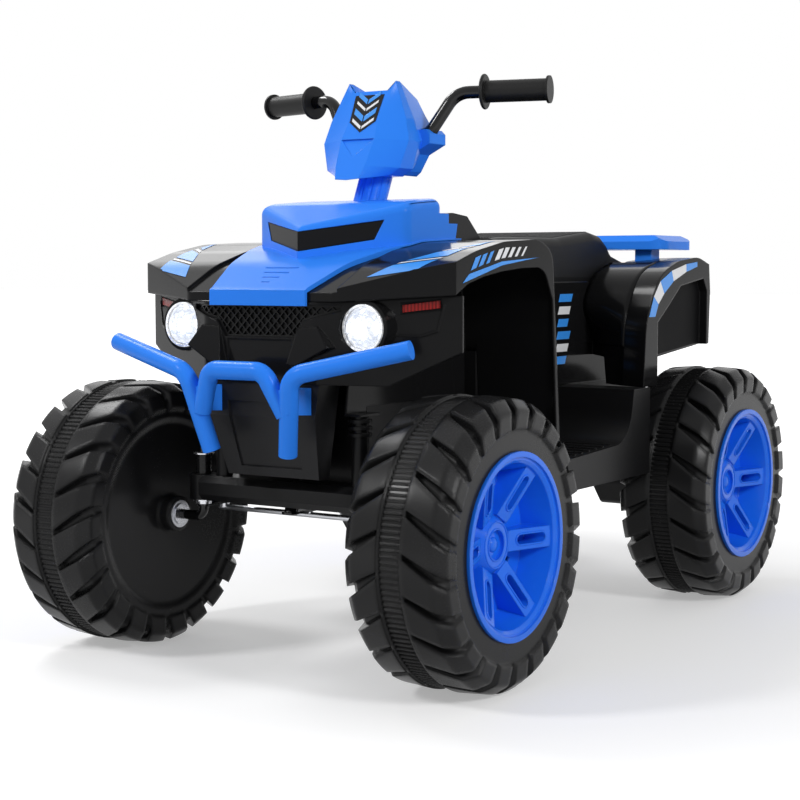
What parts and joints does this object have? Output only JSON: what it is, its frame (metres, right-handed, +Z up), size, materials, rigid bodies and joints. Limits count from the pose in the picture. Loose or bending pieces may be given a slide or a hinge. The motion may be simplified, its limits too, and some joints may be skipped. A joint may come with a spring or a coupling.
{
  "type": "kids quad bike",
  "caption": "Ride-on toy quad bike with a moulded body, seat, footboards, front bumper and rear rack; the handlebar steers the front wheels and a pedal drives the rear ones.",
  "frame": {"origin": "on the floor under the middle of the vehicle, midway between the axles", "axes": "+Z up, the front of the vehicle towards -Y, the rider's left towards +X"},
  "size_m": [0.618, 1.005, 0.711],
  "materials": {
    "blue_plastic": "satin moulded",
    "rim_blue": "gloss moulded",
    "gloss_black": "gloss moulded",
    "matte_black": "matte moulded",
    "tyre_black": "satin moulded tyre",
    "seat_black": "grained",
    "grip_rubber": "matte",
    "steel": "zinc plated",
    "black_steel": "gloss black",
    "lamp_silver": "mirror",
    "lens_clear": "clear",
    "led_white": "white",
    "marker_red": "clear red",
    "button_grey": "satin",
    "battery_grey": "matte",
    "nylon_white": "natural"
  },
  "bodies": {
    "chassis": {"column_bush": "nylon_white", "rear_axle": "steel", "rear_axle_nuts": "steel", "rack_screws": "steel", "motor_left": "steel", "motor_right": "steel", "gearbox_left": "matte_black", "gearbox_right": "matte_black", "front_axle_beam": "matte_black", "skid_plate": "matte_black", "grille": "matte_black", "chassis_tub": "matte_black", "dash_panel": "matte_black", "control_box": "matte_black", "charge_socket": "matte_black", "rear_cover": "matte_black", "battery_strap": "matte_black", "headlight_bowl_left": "lamp_silver", "headlight_bowl_right": "lamp_silver", "headlight_lens_left": "lens_clear", "headlight_lens_right": "lens_clear", "headlight_leds": "led_white", "side_markers": "marker_red", "hood": "blue_plastic", "bumper": "blue_plastic", "rear_rack": "blue_plastic", "front_body": "gloss_black", "front_fascia": "gloss_black", "hood_scoop": "gloss_black", "rear_body": "gloss_black", "seat": "seat_black", "battery": "battery_grey"},
    "steering": {"steering_column": "black_steel", "column_sleeve": "blue_plastic", "handlebar": "black_steel", "grip_left": "grip_rubber", "grip_right": "grip_rubber", "bar_cover_front": "blue_plastic", "bar_cover_rear": "blue_plastic"},
    "tie_rod": {"tie_rod": "steel"},
    "pedal": {"pedal": "matte_black"},
    "power_button": {"power_button": "button_grey"},
    "direction_switch": {"direction_switch": "button_grey"},
    "speed_switch": {"speed_switch": "button_grey"},
    "knuckle_left": {"knuckle_left": "black_steel", "knuckle_hardware_left": "steel"},
    "wheel_front_left": {"tyre_front_left": "tyre_black", "rim_front_left": "rim_blue", "wheel_bush_front_left": "steel"},
    "wheel_rear_left": {"tyre_rear_left": "tyre_black", "rim_rear_left": "rim_blue", "drive_dog_rear_left": "nylon_white"},
    "knuckle_right": {"knuckle_right": "black_steel", "knuckle_hardware_right": "steel"},
    "wheel_front_right": {"tyre_front_right": "tyre_black", "rim_front_right": "rim_blue", "wheel_bush_front_right": "steel"},
    "wheel_rear_right": {"tyre_rear_right": "tyre_black", "rim_rear_right": "rim_blue", "drive_dog_rear_right": "nylon_white"}
  },
  "joints": [
    {"name": "steer", "type": "hinge", "parent": "chassis", "child": "steering", "pos_m": [0, -0.16, 0.57], "axis": [0, 0.4147, 0.91], "range_deg": [-25, 25]},
    {"name": "tie_rod_slide", "type": "slide", "parent": "chassis", "child": "tie_rod", "axis": [1, 0, 0], "range_m": [-0.0165, 0.0165]},
    {"name": "knuckle_left_turn", "type": "hinge", "parent": "chassis", "child": "knuckle_left", "pos_m": [0.133, -0.3375, 0.165], "axis": [0, 0, 1], "range_deg": [-23.5, 23.5]},
    {"name": "knuckle_right_turn", "type": "hinge", "parent": "chassis", "child": "knuckle_right", "pos_m": [-0.133, -0.3375, 0.165], "axis": [0, 0, 1], "range_deg": [-23.5, 23.5]},
    {"name": "wheel_front_left_spin", "type": "hinge", "parent": "knuckle_left", "child": "wheel_front_left", "pos_m": [0.245, -0.3375, 0.165], "axis": [1, 0, 0], "continuous": true},
    {"name": "wheel_front_right_spin", "type": "hinge", "parent": "knuckle_right", "child": "wheel_front_right", "pos_m": [-0.245, -0.3375, 0.165], "axis": [1, 0, 0], "continuous": true},
    {"name": "wheel_rear_left_spin", "type": "hinge", "parent": "chassis", "child": "wheel_rear_left", "pos_m": [0.245, 0.3375, 0.165], "axis": [1, 0, 0], "continuous": true},
    {"name": "wheel_rear_right_spin", "type": "hinge", "parent": "chassis", "child": "wheel_rear_right", "pos_m": [-0.245, 0.3375, 0.165], "axis": [1, 0, 0], "continuous": true},
    {"name": "pedal_press", "type": "hinge", "parent": "chassis", "child": "pedal", "pos_m": [-0.176, 0.038, 0.2475], "axis": [1, 0, 0], "range_deg": [0, 9], "stiffness_Nm_per_rad": 2, "springref_deg": -8.59},
    {"name": "power_button_press", "type": "slide", "parent": "chassis", "child": "power_button", "axis": [0, -0.6305, -0.7762], "range_m": [0, 0.003], "stiffness_N_per_m": 300, "springref_m": -0.002},
    {"name": "direction_rocker", "type": "hinge", "parent": "chassis", "child": "direction_switch", "pos_m": [0.038, -0.04299, 0.51901], "axis": [1, 0, 0], "range_deg": [-10, 10]},
    {"name": "speed_rocker", "type": "hinge", "parent": "chassis", "child": "speed_switch", "pos_m": [-0.038, -0.04299, 0.51901], "axis": [1, 0, 0], "range_deg": [-10, 10]}
  ],
  "couplings": [
    {"joint": "tie_rod_slide", "follows": "steer", "m_per_rad": -0.0364},
    {"joint": "knuckle_left_turn", "follows": "steer", "ratio": 0.91},
    {"joint": "knuckle_right_turn", "follows": "steer", "ratio": 0.91}
  ]
}
